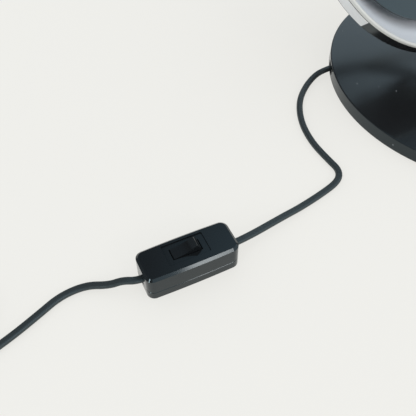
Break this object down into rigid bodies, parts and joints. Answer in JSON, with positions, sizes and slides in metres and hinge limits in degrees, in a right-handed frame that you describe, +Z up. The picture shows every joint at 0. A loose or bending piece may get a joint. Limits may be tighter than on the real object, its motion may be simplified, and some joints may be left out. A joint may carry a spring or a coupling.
{
  "type": "desk lamp",
  "caption": "Desk lamp with a round weighted base, swing arm on a column, tilting dish head and in-line rocker switch.",
  "frame": {"origin": "centre of the base's underside, on the desk", "axes": "+Z up, the cord leaves the base towards -X, the column stands towards +X"},
  "size_m": [0.6295, 0.4615, 0.399],
  "materials": {
    "dark_paint": "satin",
    "black_metal": "satin",
    "tube_chrome": "polished",
    "cast_iron": "rough",
    "zinc_steel": "satin",
    "felt_pad": "matte",
    "black_plastic": "satin",
    "washer_plastic": "matte",
    "white_plastic": "matte",
    "cream_ring": "satin",
    "white_dish": "satin",
    "dark_glass": "polished",
    "lamp_glass": "polished",
    "ceramic": "satin",
    "rubber": "matte",
    "label_grey": "satin",
    "brass": "satin",
    "cord_pvc": "satin"
  },
  "bodies": {
    "base": {"base_cover": "dark_paint", "base_weight": "cast_iron", "base_plate": "zinc_steel", "base_pad": "felt_pad", "base_screws": "zinc_steel", "cord_clamp": "black_plastic", "base_inner_screws": "zinc_steel", "base_terminal": "white_plastic", "cord_in_base": "cord_pvc", "column": "tube_chrome", "column_foot": "black_metal", "column_nut": "zinc_steel", "column_washer": "zinc_steel", "column_cap": "black_plastic", "switch_top": "black_plastic", "switch_bottom": "black_plastic", "rocker_pin": "zinc_steel", "switch_terminals": "brass", "switch_contacts": "brass", "switch_cord_bars": "black_plastic", "switch_screws": "zinc_steel", "cord_lamp_to_switch": "cord_pvc", "cord_switch_to_coil": "cord_pvc", "cord_coil": "cord_pvc", "cord_coil_to_plug": "cord_pvc", "plug_body": "black_plastic", "plug_pins": "brass"},
    "collar": {"collar": "black_metal", "collar_ring": "black_metal", "collar_washer": "washer_plastic"},
    "collar_knob": {"collar_knob": "black_plastic"},
    "lower_arm": {"arm_hub": "black_metal", "lower_arm_tube": "tube_chrome", "elbow_lower_boss": "black_metal", "elbow_washer": "washer_plastic", "elbow_bolt": "zinc_steel"},
    "elbow_knob": {"elbow_knob": "black_plastic"},
    "forearm": {"elbow_upper_boss": "black_metal", "forearm_tube": "tube_chrome", "wrist_boss": "black_metal", "wrist_pin": "zinc_steel", "wrist_nut": "zinc_steel"},
    "yoke": {"yoke": "black_metal", "yoke_washer": "washer_plastic"},
    "head": {"head_shell": "dark_paint", "head_lip": "cream_ring", "reflector": "white_dish", "glare_disc": "dark_glass", "disc_posts": "zinc_steel", "disc_nuts": "zinc_steel", "disc_screws": "zinc_steel", "lamp_tube": "lamp_glass", "tube_holders": "ceramic", "holder_screws": "zinc_steel", "lead_grommet": "rubber", "rating_strip": "label_grey", "tilt_washers": "washer_plastic"},
    "tilt_knob_left": {"tilt_knob_left": "black_plastic"},
    "tilt_knob_right": {"tilt_knob_right": "black_plastic"},
    "rocker": {"switch_rocker": "black_plastic"}
  },
  "joints": [
    {"name": "collar_height", "type": "slide", "parent": "base", "child": "collar", "axis": [0, 0, 1], "range_m": [-0.025, 0.22]},
    {"name": "arm_swing", "type": "hinge", "parent": "collar", "child": "lower_arm", "pos_m": [0.04, 0, 0.1101], "axis": [0, 0, 1], "range_deg": [-170, 170]},
    {"name": "elbow_swing", "type": "hinge", "parent": "lower_arm", "child": "forearm", "pos_m": [0.04776, 0.17983, 0.1176], "axis": [0, 0, 1], "range_deg": [-130, 0]},
    {"name": "yoke_swivel", "type": "hinge", "parent": "forearm", "child": "yoke", "pos_m": [-0.1219, 0.1197, 0.1106], "axis": [0, 0, 1], "range_deg": [-200, 5]},
    {"name": "head_tilt", "type": "hinge", "parent": "yoke", "child": "head", "pos_m": [-0.0689, 0.0279, 0.1106], "axis": [0.866, 0.5, 0], "range_deg": [-45, 135]},
    {"name": "collar_knob_turn", "type": "hinge", "parent": "collar", "child": "collar_knob", "pos_m": [0.057, 0, 0.0911], "axis": [1, 0, 0], "range_deg": [-180, 180]},
    {"name": "elbow_knob_turn", "type": "hinge", "parent": "lower_arm", "child": "elbow_knob", "pos_m": [0.04776, 0.17983, 0.1321], "axis": [0, 0, 1], "range_deg": [-180, 180]},
    {"name": "tilt_knob_right_turn", "type": "hinge", "parent": "head", "child": "tilt_knob_right", "pos_m": [0.01363, 0.07555, 0.1106], "axis": [0.866, 0.5, 0], "range_deg": [-180, 180]},
    {"name": "tilt_knob_left_turn", "type": "hinge", "parent": "head", "child": "tilt_knob_left", "pos_m": [-0.15143, -0.01975, 0.1106], "axis": [-0.866, -0.5, 0], "range_deg": [-180, 180]},
    {"name": "rocker_tilt", "type": "hinge", "parent": "base", "child": "rocker", "pos_m": [-0.23266, -0.18293, 0.0165], "axis": [-0.4258, 0.9048, 0], "range_deg": [0, 36]}
  ]
}
